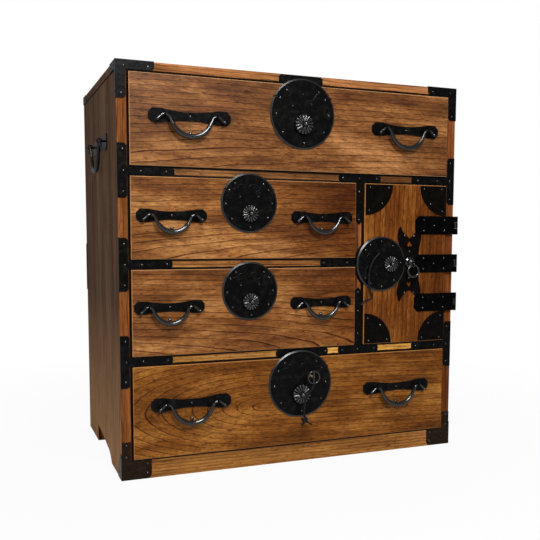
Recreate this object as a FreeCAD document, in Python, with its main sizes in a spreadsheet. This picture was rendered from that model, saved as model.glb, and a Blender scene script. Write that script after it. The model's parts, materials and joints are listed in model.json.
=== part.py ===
import FreeCAD
import Part
import math
import os

# A small chest of drawers in zelkova with forged iron mounts: four drawers, one hinged door,
# round lock plates with flower bosses, bail handles, strap hinges and nailed corner irons.
# Lengths are millimetres. The sheet measures x from the left side, y back from the front frame
# and z up from the floor; the model stands with its base centred on the origin.

drivingSizes = (
    ("width", 705),
    ("depth", 440),
    ("height", 760),
    ("reach", 32),
    ("side", 20),
    ("top", 18),
    ("rail", 16),
    ("base", 37),
    ("back", 9),
    ("plank_gap", 0.6),
    ("shelf", 9.6),
    ("shelf_set_back", 60),
    ("upper_rail_z", 559.5),
    ("middle_rail_z", 391),
    ("lower_rail_z", 213),
    ("partition_x", 473),
    ("gap", 1.5),
    ("proud", 6),
    ("front", 20),
    ("arris", 1.2),
    ("box_wall", 9),
    ("box_floor", 6),
    ("box_length", 400),
    ("box_drop", 8),
    ("box_play", 0.5),
    ("notch_front", 118),
    ("notch_back", 303),
    ("notch_rise", 36),
    ("iron", 1.2),
    ("strap_iron", 1.5),
    ("keeper_iron", 4.1),
    ("iron_width", 17),
    ("iron_clip", 4),
    ("corner_iron_reach", 68),
    ("corner_iron_flank", 58),
    ("corner_iron_drop", 15),
    ("corner_iron_leg", 66),
    ("corner_iron_narrow", 9),
    ("corner_iron_lip", 14),
    ("stile_iron_leg", 40.5),
    ("post_iron_point", 7),
    ("plate", 2),
    ("lock_edge", 1.4),
    ("lock_bevel", 3),
    ("lock_crown", 3),
    ("large_lock_radius", 67),
    ("small_lock_radius", 56),
    ("rosette_offset", 20),
    ("large_rosette_radius", 20),
    ("small_rosette_radius", 17),
    ("eye_radius", 4.3),
    ("eye_wire", 1.3),
    ("eye_shank", 1.95),
    ("bail_offset", 10),
    ("axis_rise", 1.5),
    ("stud_radius", 3),
    ("stud_lift", 4),
    ("hinge_height", 38),
    ("hinge_axis_x", 709.2),
    ("hinge_leaf_depth", 46),
    ("strap_start", 609),
    ("strap_clip", 8),
    ("knuckle_radius", 4),
    ("knuckle_gap", 0.4),
    ("pin_radius", 1.62),
    ("pin_play", 0.08),
    ("corner_plate_radius", 62),
    ("corner_plate_inset", 1.5),
    ("key_x", 371),
    ("key_z", 174.5),
    ("key_ring_radius", 12),
    ("key_ring_wire", 1.7),
    ("key_bar_radius", 1.5),
    ("key_shank_radius", 2.4),
    ("key_play", 0.3),
    ("key_cord_thickness", 4),
    ("door_cord_thickness", 3.4),
    ("side_handle_y", 190),
    ("side_handle_z", 629),
)

doc = FreeCAD.newDocument("tansu_chest")
sheet = doc.addObject("Spreadsheet::Sheet", "dim")
for row, (alias, value) in enumerate(drivingSizes, start=1):
    sheet.set(f"A{row}", alias)
    sheet.set(f"B{row}", str(value))
    sheet.setAlias(f"B{row}", alias)
doc.recompute()

Vector = FreeCAD.Vector
turnForward = FreeCAD.Rotation(Vector(1, 0, 0), 90)
overcut = 1
subParts = []


def size(alias):
    return float(sheet.get(alias))


def place(item, x, y, z):
    item.setExpression("Placement.Base.x", f"{x} - dim.width / 2")
    item.setExpression("Placement.Base.y", f"{y} + (dim.reach - dim.depth - dim.iron) / 2")
    item.setExpression("Placement.Base.z", f"{z}")
    return item


def subPart(item, label):
    item.Label = label
    subParts.append(item)
    return item


def box(name, length, width, height, x, y, z):
    item = doc.addObject("Part::Box", name)
    item.setExpression("Length", f"{length}")
    item.setExpression("Width", f"{width}")
    item.setExpression("Height", f"{height}")
    return place(item, x, y, z)


def group(label, items):
    compound = doc.addObject("Part::Compound", label)
    compound.Links = items
    return subPart(compound, label)


def fuse(name, items):
    union = doc.addObject("Part::MultiFuse", name)
    union.Shapes = items
    return union


def cut(name, base, tool):
    difference = doc.addObject("Part::Cut", name)
    difference.Base = base
    difference.Tool = tool
    return difference


def mirror(name, source):
    image = doc.addObject("Part::Mirroring", name)
    image.Source = source
    image.Normal = Vector(1, 0, 0)
    return image


def solid(name, shape):
    feature = doc.addObject("Part::Feature", name)
    feature.Shape = shape
    return feature


# An outline is a start point followed by end points, or by pairs of middle and end points for arcs.
def sketchOutlines(body, plane, outlines):
    sketch = body.newObject("Sketcher::SketchObject", body.Name + "_outline")
    support = next(item for item in body.Origin.OriginFeatures if item.Role == plane)
    sketch.AttachmentSupport = [(support, "")]
    sketch.MapMode = "FlatFace"
    for outline in outlines:
        here = Vector(*outline[0], 0)
        for step in outline[1:] + [outline[0]]:
            if isinstance(step[0], tuple):
                middle, end = (Vector(*point, 0) for point in step)
                sketch.addGeometry(Part.Arc(here, middle, end), False)
            else:
                end = Vector(*step, 0)
                if end.isEqual(here, 1e-6):
                    continue
                sketch.addGeometry(Part.LineSegment(here, end), False)
            here = end
    return sketch


# A sheet iron plate that lies on a face turned to the front, or to the left side.
def plate(name, outlines, thickness, plane="XZ_Plane"):
    body = doc.addObject("PartDesign::Body", name)
    sketch = sketchOutlines(body, plane, outlines)
    pad = body.newObject("PartDesign::Pad", name + "_pad")
    pad.Profile = sketch
    pad.Reversed = plane == "YZ_Plane"
    pad.setExpression("Length", thickness)
    return body


def framePlate(name, outline, thickness="dim.iron", plane="XZ_Plane"):
    return place(plate(name, [outline], thickness, plane), "0", "0", "0")


# A round form turned about the line that points out of the front.
def turned(name, outline):
    body = doc.addObject("PartDesign::Body", name)
    sketch = sketchOutlines(body, "YZ_Plane", [outline])
    revolution = body.newObject("PartDesign::Revolution", name + "_turn")
    revolution.Profile = sketch
    revolution.ReferenceAxis = (sketch, ["H_Axis"])
    revolution.Angle = 360
    return body


# Carcass: the floor notch in each side climbs in two arcs, given in shares of its run and rise.
notchShoulder, notchKnee, notchToe = (0.63, 0.85), (0.27, 0.58), (0.1, 0.36)


def sideBoard(label, x):
    blank = box(label + "_blank", "dim.side", "dim.depth", "dim.height - dim.top", x, "0", "0")
    front, rear, rise = size("notch_front"), size("notch_back"), size("notch_rise")

    def onNotch(share):
        return (front + share[0] * (rear - front), share[1] * rise)

    outline = [
        (rear, -overcut),
        (rear, rise),
        (onNotch(notchShoulder), onNotch(notchKnee)),
        (onNotch(notchToe), (front, -overcut)),
    ]
    tool = plate(label + "_notch", [outline], f"dim.side + {2 * overcut}", "YZ_Plane")
    place(tool, f"{x} + dim.side + {overcut}", "0", "0")
    return subPart(cut(label, blank, tool), label)


inside = "dim.width - 2 * dim.side"
innerDepth = "dim.depth - dim.back"
subPart(box("top_board", "dim.width", "dim.depth", "dim.top", "0", "0", "dim.height - dim.top"), "top_board")
sideBoard("left_side_board", "0")
sideBoard("right_side_board", "dim.width - dim.side")
subPart(box("base_rail", inside, "dim.front", "dim.base", "dim.side", "0", "0"), "base_rail")
subPart(
    box("bottom_board", inside, f"{innerDepth} - dim.front", "dim.rail",
        "dim.side", "dim.front", "dim.base - dim.rail"), "bottom_board")
subPart(box("upper_divider", inside, innerDepth, "dim.rail", "dim.side", "0", "dim.upper_rail_z"), "upper_divider")
subPart(box("lower_divider", inside, innerDepth, "dim.rail", "dim.side", "0", "dim.lower_rail_z"), "lower_divider")
subPart(
    box("middle_divider", "dim.partition_x - dim.side", innerDepth, "dim.rail",
        "dim.side", "0", "dim.middle_rail_z"), "middle_divider")
subPart(
    box("partition", "dim.rail", innerDepth, "dim.upper_rail_z - dim.lower_rail_z - dim.rail",
        "dim.partition_x", "0", "dim.lower_rail_z + dim.rail"), "partition")
subPart(
    box("compartment_shelf", "dim.width - dim.side - dim.partition_x - dim.rail",
        f"{innerDepth} - dim.shelf_set_back", "dim.shelf", "dim.partition_x + dim.rail",
        "dim.shelf_set_back", "dim.middle_rail_z"), "compartment_shelf")

backPlankCount = 4
plankWidth = f"({inside}) / {backPlankCount}"
backPlanks = [
    box(f"back_plank_{index}", f"{plankWidth} - dim.plank_gap", "dim.back",
        "dim.height - dim.top - dim.base + dim.rail", f"dim.side + dim.plank_gap / 2 + {index} * {plankWidth}",
        innerDepth, "dim.base - dim.rail")
    for index in range(backPlankCount)
]
group("back_panel", backPlanks)


# Nailed irons of the frame
def clippedBar(x0, z0, x1, z1):
    clip = size("iron_clip")
    return [
        (x0, z0 + clip), (x0, z1 - clip), (x0 + clip, z1), (x1 - clip, z1),
        (x1, z1 - clip), (x1, z0 + clip), (x1 - clip, z0), (x0 + clip, z0),
    ]


# A front corner iron wraps the front, the side and the edge of the top.
def cornerIron(name):
    thick, clip, topZ = size("iron"), size("iron_clip"), size("height")
    drop, leg = size("corner_iron_drop"), size("corner_iron_leg")

    def hooked(start, run, stem):
        return [
            (start, topZ + thick), (run, topZ + thick), (run, topZ - drop + clip), (run - clip, topZ - drop),
            (stem, topZ - drop), (stem, topZ - leg + clip), (stem - clip, topZ - leg), (start, topZ - leg),
        ]

    front = framePlate(name + "_face", hooked(-thick, size("corner_iron_reach"), size("iron_width")))
    flankOutline = hooked(0, size("corner_iron_flank"), size("corner_iron_narrow"))
    flank = framePlate(name + "_flank", flankOutline, plane="YZ_Plane")
    lip = box(name + "_lip", "dim.corner_iron_reach", "dim.corner_iron_lip", "dim.iron", "0", "0", "dim.height")
    return fuse(name, [front, flank, lip])


rearIrons = {
    "rear_corner_iron": {"low": 744, "high": 760, "deep": 42},
    "rear_strap": {"low": 325, "high": 430, "deep": 14},
}


def rearIron(name, low, high, deep):
    rear = size("depth")
    flank = framePlate(name + "_flank", [(rear - deep, low), (rear, low), (rear, high), (rear - deep, high)],
                       plane="YZ_Plane")
    wrap = box(name + "_wrap", f"{deep} + dim.iron", "dim.iron", high - low, "-dim.iron", "dim.depth", low)
    return fuse(name, [flank, wrap])


leftCorners = [cornerIron("front_corner_iron")] + [rearIron(name, **sizes) for name, sizes in rearIrons.items()]
group("corner_irons", leftCorners + [mirror(item.Name + "_right", item) for item in leftCorners])

bootForm = {"low": 0.5, "reach": 55, "round": 10, "flank": 40, "toe": 34, "toe_rise": 8, "waist": 22,
            "head": 12, "flank_top": 49, "strap_top": 72}


# A boot covers the foot of a stile and the end of the base rail, and wraps round to the side.
def baseBoot(name):
    low, reach, rounding = bootForm["low"], bootForm["reach"], bootForm["round"]
    flankTop, strapTop = bootForm["flank_top"], bootForm["strap_top"]
    thick, wide, high = size("iron"), size("iron_width"), size("base")
    inset = rounding * (1 - math.sqrt(0.5))
    face = [
        (-thick, low), (reach - rounding, low), ((reach - inset, low + inset), (reach, low + rounding)),
        (reach, high), (wide, high), (wide, strapTop), (0, strapTop), (0, flankTop), (-thick, flankTop),
    ]
    flank = [
        (0, low), (bootForm["toe"], low), (bootForm["flank"], bootForm["toe_rise"]),
        (bootForm["waist"], high), (bootForm["head"], flankTop), (0, flankTop),
    ]
    return fuse(name, [framePlate(name + "_face", face), framePlate(name + "_flank", flank, plane="YZ_Plane")])


leftBoot = baseBoot("left_boot")
group("base_boots", [leftBoot, mirror("right_boot", leftBoot)])

railHeights = {name: size(name + "_rail_z") for name in ("upper", "middle", "lower")}
stileArmEnds = {"upper": 103, "middle": 98, "lower": 97}
postIrons = {
    "upper": {"start": 435, "end": 529, "leg": -84.5},
    "lower": {"start": 437, "end": 528, "leg": 119},
}
middleBarStart = 396


# A T iron binds a stile to a rail: a leg on the stile and an arm along the rail.
def stileIron(name, armEnd, railZ):
    wide, high, clip, leg = size("iron_width"), size("rail"), size("iron_clip"), size("stile_iron_leg")
    foot, head = railZ - leg, railZ + high + leg
    outline = [
        (0, foot), (wide - clip, foot), (wide, foot + clip), (wide, railZ),
        (armEnd - clip, railZ), (armEnd, railZ + clip), (armEnd, railZ + high - clip),
        (armEnd - clip, railZ + high), (wide, railZ + high), (wide, head - clip),
        (wide - clip, head), (0, head),
    ]
    return framePlate(name, outline)


# The partition's irons run along a rail, with a leg on the post that ends in a point.
def postIron(name, start, end, leg, railZ):
    high, point = size("rail"), math.copysign(size("post_iron_point"), leg)
    left = size("partition_x") + size("iron")
    right = left + high - 2 * size("iron")
    root = railZ if leg < 0 else railZ + high
    tip = root + leg
    stem = [(left, root), (left, tip - point), ((left + right) / 2, tip), (right, tip - point), (right, root)]
    arm = clippedBar(start, railZ, end, railZ + high)
    return fuse(name, [framePlate(name + "_arm", arm), framePlate(name + "_leg", stem)])


stileIrons = {
    name: stileIron(f"{name}_stile_iron", armEnd, railHeights[name]) for name, armEnd in stileArmEnds.items()
}
rightStileIrons = [mirror(f"{name}_stile_iron_right", stileIrons[name]) for name in ("upper", "lower")]
partitionIrons = [
    postIron(f"{name}_post_iron", railZ=railHeights[name], **sizes) for name, sizes in postIrons.items()
]
middleZ, lowerZ = railHeights["middle"], railHeights["lower"]
middleBar = clippedBar(middleBarStart, middleZ, size("partition_x"), middleZ + size("rail"))
group("rail_irons", list(stileIrons.values()) + rightStileIrons + partitionIrons
      + [framePlate("middle_post_iron", middleBar)])

# Strike plates behind the locks: two bars, and a keeper on the partition that follows the door's lock.
topStrikeEnds, lowerStrikeEnds, strikeInset = (307, 398), (302, 414), 0.5
doorLockX, doorLockZ = 529.4, 395.4
keeperMargin = 2
keeperRadius = size("small_lock_radius") + keeperMargin
postLeft = size("partition_x")
postRight = postLeft + size("rail")
postMiddle = (postLeft + postRight) / 2


def keeperEdge(x, way):
    return (x, doorLockZ + way * math.sqrt(keeperRadius ** 2 - (doorLockX - x) ** 2))


def strikeBar(ends, low, high):
    return clippedBar(ends[0], low + strikeInset, ends[1], high - strikeInset)


keeperOutline = [
    keeperEdge(postLeft, -1), (keeperEdge(postMiddle, -1), keeperEdge(postRight, -1)),
    keeperEdge(postRight, 1), (keeperEdge(postMiddle, 1), keeperEdge(postLeft, 1)),
]
topStrike = strikeBar(topStrikeEnds, size("height") - size("top"), size("height"))
lowerStrike = strikeBar(lowerStrikeEnds, lowerZ, lowerZ + size("rail"))
group("strike_plates", [
    framePlate("top_strike", topStrike),
    framePlate("lower_strike", lowerStrike),
    framePlate("door_keeper", keeperOutline, "dim.keeper_iron"),
])


# Bail handles: a plate with clipped lobes and a drawn-in waist, two eye posts, a swelling bail
# whose tips flare outwards, and a nail head that stops the bail.
handleKinds = {
    "large": {"length": 154, "height": 26, "waist": 15, "span": 97, "drop": 38, "hump": 10,
              "middle": 4.0, "end": 2.3},
    "small": {"length": 131, "height": 24, "waist": 15, "span": 82, "drop": 31, "hump": 9,
              "middle": 3.7, "end": 2.2},
    "side": {"length": 172, "height": 30, "waist": 18, "span": 132, "drop": 52, "hump": 10,
             "middle": 4.8, "end": 2.4},
}
lobeClip, lobeStart = 0.28, 0.68
innerLean = math.radians(65)
outerLean = math.radians(42)
tipRun, tipSwell = 9.5, 1.2


def handlePlate(name, kind):
    form = handleKinds[kind]
    end, high, waist = form["length"] / 2, form["height"] / 2, form["waist"] / 2
    clip = lobeClip * form["height"]
    lobe = lobeStart * end
    upper = [(-end, clip - high), (-end, high - clip), (clip - end, high), (-lobe, high)]
    lower = [(end, high - clip), (end, clip - high), (end - clip, -high), (lobe, -high)]
    outline = upper + [((0, waist), (lobe, high)), (end - clip, high)]
    outline += lower + [((0, -waist), (-lobe, -high)), (clip - end, -high)]
    return plate(name, [outline], "dim.plate")


def bailShape(kind):
    form = handleKinds[kind]
    reach, drop, hump = form["span"] / 2, form["drop"], form["hump"]
    sine, cosine = math.sin(innerLean), math.cos(innerLean)
    bow = (reach * sine - drop * cosine) / (1 - cosine) - hump

    def onHump(side, angle):
        return Vector(side * (reach + hump * math.sin(angle)), 0, -hump * (1 - math.cos(angle)))

    def onBow(angle):
        return Vector(bow * math.sin(angle), 0, -drop + bow * (1 - math.cos(angle)))

    edges = []
    stations = []
    for side in (-1, 1):
        shoulder = onHump(side, outerLean)
        tip = shoulder + Vector(side * math.cos(outerLean), 0, -math.sin(outerLean)) * tipRun
        crest, inner, foot = onHump(side, 0), onHump(side, -innerLean), onBow(side * innerLean)
        tipEdges = [
            Part.LineSegment(tip, shoulder).toShape(),
            Part.Arc(shoulder, onHump(side, outerLean / 2), crest).toShape(),
            Part.Arc(crest, onHump(side, -innerLean / 2), inner).toShape(),
            Part.LineSegment(inner, foot).toShape(),
        ]
        edges.append(tipEdges)
        tipWay = Vector(-side * math.cos(outerLean), 0, math.sin(outerLean))
        stations.append([(tip, tipWay, form["end"]), (crest, Vector(1, 0, 0), form["end"])])
    bowEdge = Part.Arc(onBow(-innerLean), onBow(0), onBow(innerLean)).toShape()
    path = Part.Wire(edges[0] + [bowEdge] + list(reversed(edges[1])))
    sections = stations[0] + [(onBow(0), Vector(1, 0, 0), form["middle"])] + list(reversed(stations[1]))
    shell = Part.BRepOffsetAPI.MakePipeShell(path)
    shell.setBiNormalMode(Vector(0, 1, 0))
    for centre, way, radius in sections:
        shell.add(Part.Wire(Part.makeCircle(radius, centre, way)))
    shell.build()
    shell.makeSolid()
    ends = [Part.makeSphere(tipSwell * form["end"], station[0][0]) for station in stations]
    return shell.shape().multiFuse(ends).removeSplitter()


bailShapes = {kind: bailShape(kind) for kind in handleKinds}


def eyePost(name, length):
    ring = doc.addObject("Part::Torus", name + "_ring")
    ring.setExpression("Radius1", "dim.eye_radius")
    ring.setExpression("Radius2", "dim.eye_wire")
    ring.Placement = FreeCAD.Placement(Vector(0, -length, 0), FreeCAD.Rotation(Vector(0, 1, 0), 90))
    shank = doc.addObject("Part::Cylinder", name + "_shank")
    shank.setExpression("Radius", "dim.eye_shank")
    shank.Height = length - size("eye_radius")
    shank.Placement = FreeCAD.Placement(Vector(), turnForward)
    return fuse(name, [ring, shank])


def studHead(name):
    head = doc.addObject("Part::Sphere", name)
    head.setExpression("Radius", "dim.stud_radius")
    head.Angle1 = 0
    head.Placement = FreeCAD.Placement(Vector(), turnForward)
    return head


def frontHandle(prefix, kind, x, z):
    form = handleKinds[kind]
    items = [place(handlePlate(prefix + "_plate", kind), x, "-dim.proud", z)]
    for side in (-1, 1):
        post = eyePost(f"{prefix}_post_{side + 1}", size("bail_offset"))
        postX = f"{x} + {side * form['span'] / 2}"
        items.append(place(post, postX, "-dim.proud - dim.plate", f"{z} + dim.axis_rise"))
    items.append(place(studHead(prefix + "_stud"), x, "-dim.proud", f"{z} + dim.stud_lift - {form['drop']}"))
    bail = solid(prefix + "_bail", bailShapes[kind])
    place(bail, x, "-dim.proud - dim.plate - dim.bail_offset", f"{z} + dim.axis_rise")
    subPart(bail, prefix + "_bail")
    return items


# Locks: an iron disc with a bevelled rim and a sixteen-petalled flower boss.
def lockPlate(label, radius, x, z):
    edge, bevel, crown = size("lock_edge"), size("lock_bevel"), size("lock_crown")
    rim = size(radius)
    outline = [(0, 0), (0, rim), (-edge, rim), (-crown, rim - bevel), (-crown, 0)]
    return subPart(place(turned(label, outline), x, "-dim.proud", z), label)


# Petals are cones with round ends, laid on a conical bed; sizes are shares of the flower's radius.
petalCount = 16
petalSwell, petalRoot, petalRise, petalTipRise = 1.06, 0.3, 0.3, 0.13
bedRadius, bedTop = 0.9, 0.25
bossRadius, bossRise = 0.3, 0.32


def rosetteShape(radius):
    slope = petalSwell * math.tan(math.pi / petalCount)
    outer = radius * slope / (1 + slope)
    inner = petalRoot * radius * slope
    start = Vector(petalRoot * radius, -petalRise * radius, 0)
    finish = Vector(radius - outer, -petalTipRise * radius, 0)
    way = finish - start
    petals = []
    for index in range(petalCount):
        turn = FreeCAD.Rotation(Vector(0, 1, 0), 360 * (index + 0.5) / petalCount)
        centre = turn.multVec(finish)
        petals.append(Part.makeCone(inner, outer, way.Length, turn.multVec(start), turn.multVec(way)))
        petals.append(Part.makeSphere(outer, centre))
    bed = Part.makeCone(bedRadius * radius, bedTop * radius, petalRise * radius, Vector(), Vector(0, -1, 0))
    boss = Part.makeSphere(bossRadius * radius, Vector(0, -bossRise * radius, 0))
    flower = bed.multiFuse(petals + [boss])
    keep = Part.makeBox(3 * radius, radius, 3 * radius, Vector(-1.5 * radius, -radius, -1.5 * radius))
    return flower.common(keep).removeSplitter()


rosetteShapes = {name: rosetteShape(size(name + "_rosette_radius")) for name in ("large", "small")}


def lockRosette(label, kind, x, z):
    flower = solid(label, rosetteShapes[kind])
    place(flower, x, "-dim.proud - dim.lock_crown", z)
    return subPart(flower, label)


# Drawers
leftWall = "dim.side"
rightWall = "(dim.width - dim.side)"
drawers = {
    "top_drawer": {"kind": "large", "right": rightWall, "low": "(dim.upper_rail_z + dim.rail)",
                   "high": "(dim.height - dim.top)", "lock": (353.7, 685.7),
                   "handles": (131.7, 581.5), "handle_z": 667},
    "upper_drawer": {"kind": "small", "right": "dim.partition_x", "low": "(dim.middle_rail_z + dim.rail)",
                     "high": "dim.upper_rail_z", "lock": (244.8, 513.7),
                     "handles": (96.4, 396.9), "handle_z": 488},
    "lower_drawer": {"kind": "small", "right": "dim.partition_x", "low": "(dim.lower_rail_z + dim.rail)",
                     "high": "dim.middle_rail_z", "lock": (246.3, 346.7),
                     "handles": (90.9, 395.4), "handle_z": 320.2},
    "bottom_drawer": {"kind": "large", "right": rightWall, "low": "dim.base",
                      "high": "dim.lower_rail_z", "lock": (351.7, 159.2),
                      "handles": (130.7, 569), "handle_z": 138},
}


def easedBoard(label, length, height, x, z):
    blank = box(label + "_blank", length, "dim.front", height, x, "-dim.proud", z)
    doc.recompute()
    frontY = blank.Shape.BoundBox.YMin
    eased = doc.addObject("Part::Chamfer", label)
    eased.Base = blank
    eased.Edges = [
        (index, size("arris"), size("arris"))
        for index, edge in enumerate(blank.Shape.Edges, start=1)
        if edge.BoundBox.YMax - frontY < 1e-6
    ]
    return subPart(eased, label)


for name, drawer in drawers.items():
    kind = drawer["kind"]
    high, low, right = drawer["high"], drawer["low"], drawer["right"]
    frontLength = f"({right} - {leftWall} - 2 * dim.gap)"
    frontHeight = f"({high} - {low} - 2 * dim.gap)"
    startX = f"({leftWall} + dim.gap)"
    startZ = f"({low} + dim.gap)"
    easedBoard(name + "_front", frontLength, frontHeight, startX, startZ)
    rear = "(dim.front - dim.proud)"
    wallHeight = f"({frontHeight} - dim.box_drop)"
    innerLength = f"({frontLength} - 2 * dim.box_play - 2 * dim.box_wall)"
    wallX = f"({startX} + dim.box_play)"
    innerX = f"({wallX} + dim.box_wall)"
    group(name + "_box", [
        box(name + "_left_wall", "dim.box_wall", "dim.box_length", wallHeight, wallX, rear, startZ),
        box(name + "_right_wall", "dim.box_wall", "dim.box_length", wallHeight,
            f"{innerX} + {innerLength}", rear, startZ),
        box(name + "_back_wall", innerLength, "dim.box_wall", f"{wallHeight} - dim.box_floor", innerX,
            f"{rear} + dim.box_length - dim.box_wall", f"{startZ} + dim.box_floor"),
        box(name + "_floor", innerLength, "dim.box_length", "dim.box_floor", innerX, rear, startZ),
    ])
    lockX, lockZ = drawer["lock"]
    lockPlate(name + "_lock_plate", kind + "_lock_radius", lockX, lockZ)
    lockRosette(name + "_lock_rosette", kind, lockX, f"{lockZ} - dim.rosette_offset")
    handleItems = []
    for side, handleX in zip(("left", "right"), drawer["handles"]):
        handleItems += frontHandle(f"{name}_{side}", kind, handleX, drawer["handle_z"])
    group(name + "_handle_mounts", handleItems)


# Carrying handles on both sides, turned to face outwards and then mirrored.
sideTurn = FreeCAD.Rotation(Vector(0, 0, 1), -90)
sideForm = handleKinds["side"]


def turnToSide(item):
    item.Placement = FreeCAD.Placement(Vector(), sideTurn)
    return item


sideItems = [place(turnToSide(handlePlate("side_plate", "side")), "0", "dim.side_handle_y", "dim.side_handle_z")]
for side in (-1, 1):
    post = turnToSide(eyePost(f"side_post_{side + 1}", size("bail_offset")))
    sideItems.append(place(post, "-dim.plate", f"dim.side_handle_y + {side * sideForm['span'] / 2}",
                           "dim.side_handle_z + dim.axis_rise"))
group("side_handle_mounts", sideItems + [mirror(item.Name + "_right", item) for item in sideItems])
leftBail = turnToSide(solid("left_side_bail", bailShapes["side"]))
place(leftBail, "-dim.plate - dim.bail_offset", "dim.side_handle_y", "dim.side_handle_z + dim.axis_rise")
subPart(leftBail, "left_side_bail")
subPart(mirror("right_side_bail", leftBail), "right_side_bail")

# Door: half a gap more on its opening edge, where it swings past the partition.
doorLeft = "(dim.partition_x + dim.rail + 1.5 * dim.gap)"
doorLow = "(dim.lower_rail_z + dim.rail + dim.gap)"
doorLength = f"(dim.width - dim.side - dim.gap - {doorLeft})"
doorHeight = f"(dim.upper_rail_z - dim.gap - {doorLow})"
easedBoard("door_board", doorLength, doorHeight, doorLeft, doorLow)

cornerRadius = size("corner_plate_radius")
quarter = cornerRadius * math.sqrt(0.5)
quarterOutline = [(0, 0), (cornerRadius, 0), ((quarter, quarter), (0, cornerRadius))]
nearLeft = f"{doorLeft} + dim.corner_plate_inset"
nearRight = f"{doorLeft} + {doorLength} - dim.corner_plate_inset"
nearLow = f"{doorLow} + dim.corner_plate_inset"
nearHigh = f"{doorLow} + {doorHeight} - dim.corner_plate_inset"
doorCorners = ((nearLeft, nearLow), (nearLeft, nearHigh), (nearRight, nearHigh), (nearRight, nearLow))
cornerPlates = []
for index, (x, z) in enumerate(doorCorners):
    quarterPlate = plate(f"door_corner_{index}", [quarterOutline], "dim.iron")
    quarterPlate.Placement = FreeCAD.Placement(Vector(), FreeCAD.Rotation(Vector(0, 1, 0), 90 * index))
    cornerPlates.append(place(quarterPlate, x, "-dim.proud", z))
group("door_corner_plates", cornerPlates)

# Strap hinges: the door's strap ends in one knuckle between the two knuckles of the leaf on the side.
hingeHeights = (475, 395, 313)
pivotX = size("hinge_axis_x")
strapStart, strapClip = size("strap_start"), size("strap_clip")
half = size("hinge_height") / 2
tongue = half / 3
shoulder = pivotX - size("knuckle_radius") - size("knuckle_gap")
knuckleHeight = half - tongue - size("knuckle_gap")
strapOutline = [
    (strapStart, strapClip - half), (strapStart, half - strapClip), (strapStart + strapClip, half),
    (shoulder, half), (shoulder, tongue), (pivotX, tongue), (pivotX, -tongue), (shoulder, -tongue),
    (shoulder, -half), (strapStart + strapClip, -half),
]


def tube(name, radius, low, height):
    item = doc.addObject("Part::Cylinder", name)
    item.setExpression("Radius", radius)
    item.Height = height
    return place(item, "dim.hinge_axis_x", "-dim.proud", low)


doorLeaves = []
frameLeaves = []
hingePins = []
for index, hingeZ in enumerate(hingeHeights):
    foot = hingeZ - half
    strap = place(plate(f"strap_{index}", [strapOutline], "dim.strap_iron"), "0", "-dim.proud", hingeZ)
    strapKnuckle = tube(f"strap_knuckle_{index}", "dim.knuckle_radius", hingeZ - tongue, 2 * tongue)
    strapBlank = fuse(f"strap_blank_{index}", [strap, strapKnuckle])
    strapBore = tube(f"strap_bore_{index}", "dim.pin_radius + dim.pin_play", foot, 2 * half)
    doorLeaves.append(cut(f"strap_leaf_{index}", strapBlank, strapBore))
    leafParts = [box(f"leaf_plate_{index}", "dim.iron", "dim.hinge_leaf_depth", 2 * half, "dim.width", "0", foot)]
    for name, low in (("low", foot), ("high", hingeZ + half - knuckleHeight)):
        leafParts.append(tube(f"leaf_{name}_{index}", "dim.knuckle_radius", low, knuckleHeight))
        leafParts.append(box(f"leaf_{name}_lug_{index}", "dim.iron", "dim.proud", knuckleHeight, "dim.width",
                             "-dim.proud", low))
    leafBlank = fuse(f"leaf_blank_{index}", leafParts)
    leafBore = tube(f"leaf_bore_{index}", "dim.pin_radius", foot, 2 * half)
    frameLeaves.append(cut(f"frame_leaf_{index}", leafBlank, leafBore))
    hingePins.append(tube(f"pin_{index}", "dim.pin_radius", foot, 2 * half))
group("hinge_door_leaves", doorLeaves)
group("hinge_frame_leaves", frameLeaves)
group("hinge_pins", hingePins)

doorLock = lockPlate("door_lock_plate", "small_lock_radius", doorLockX, doorLockZ)
lockRosette("door_lock_rosette", "small", f"{doorLockX} + dim.rosette_offset", doorLockZ)

# The fret plate has horns above and below, pierced by a heart at each end, and fits round
# the lock plate and the straps.
fretX, fretZ = 596, 394
fretHigh, fretTip = 79, 22
fretBulge, fretBulgeZ = 27.5, 66
fretNeck, fretNeckZ, fretWaist = 27, 50, 21
fretNotchZ, hornX, hornZ = 54, 12, 63
heartZ, heartHalf = 41, 5
heartLobe, heartCleft, heartPoint = 4, 0.9, 6.5


# One end of the plate, from neck to neck over both horns; way -1 is the same end turned round.
def hornedEnd(way):
    return [
        (-way * fretNeck, way * fretNeckZ),
        ((-way * fretBulge, way * fretBulgeZ), (-way * fretTip, way * fretHigh)),
        ((-way * hornX, way * hornZ), (0, way * fretNotchZ)),
        ((way * hornX, way * hornZ), (way * fretTip, way * fretHigh)),
        ((way * fretBulge, way * fretBulgeZ), (way * fretNeck, way * fretNeckZ)),
    ]


# A heart with its point towards the plate's end.
def heart(way):
    lobeX, lobeZ, cleftZ = heartHalf / 2, heartZ - heartLobe, heartZ - heartCleft
    return [
        (0, way * cleftZ),
        ((-lobeX, way * lobeZ), (-heartHalf, way * heartZ)),
        (0, way * (heartZ + heartPoint)),
        (heartHalf, way * heartZ),
        ((lobeX, way * lobeZ), (0, way * cleftZ)),
    ]


upperEnd, lowerEnd = hornedEnd(1), hornedEnd(-1)
fretOutline = upperEnd + [((fretWaist, 0), lowerEnd[0])] + lowerEnd[1:] + [((-fretWaist, 0), upperEnd[0])]
fretBlank = place(plate("fret_blank", [fretOutline, heart(1), heart(-1)], "dim.iron"), fretX, "-dim.proud", fretZ)
neighbours = doc.addObject("Part::Compound", "fret_neighbours")
neighbours.Links = doorLeaves + [doorLock]
subPart(cut("door_fret_plate", fretBlank, neighbours), "door_fret_plate")

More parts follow.
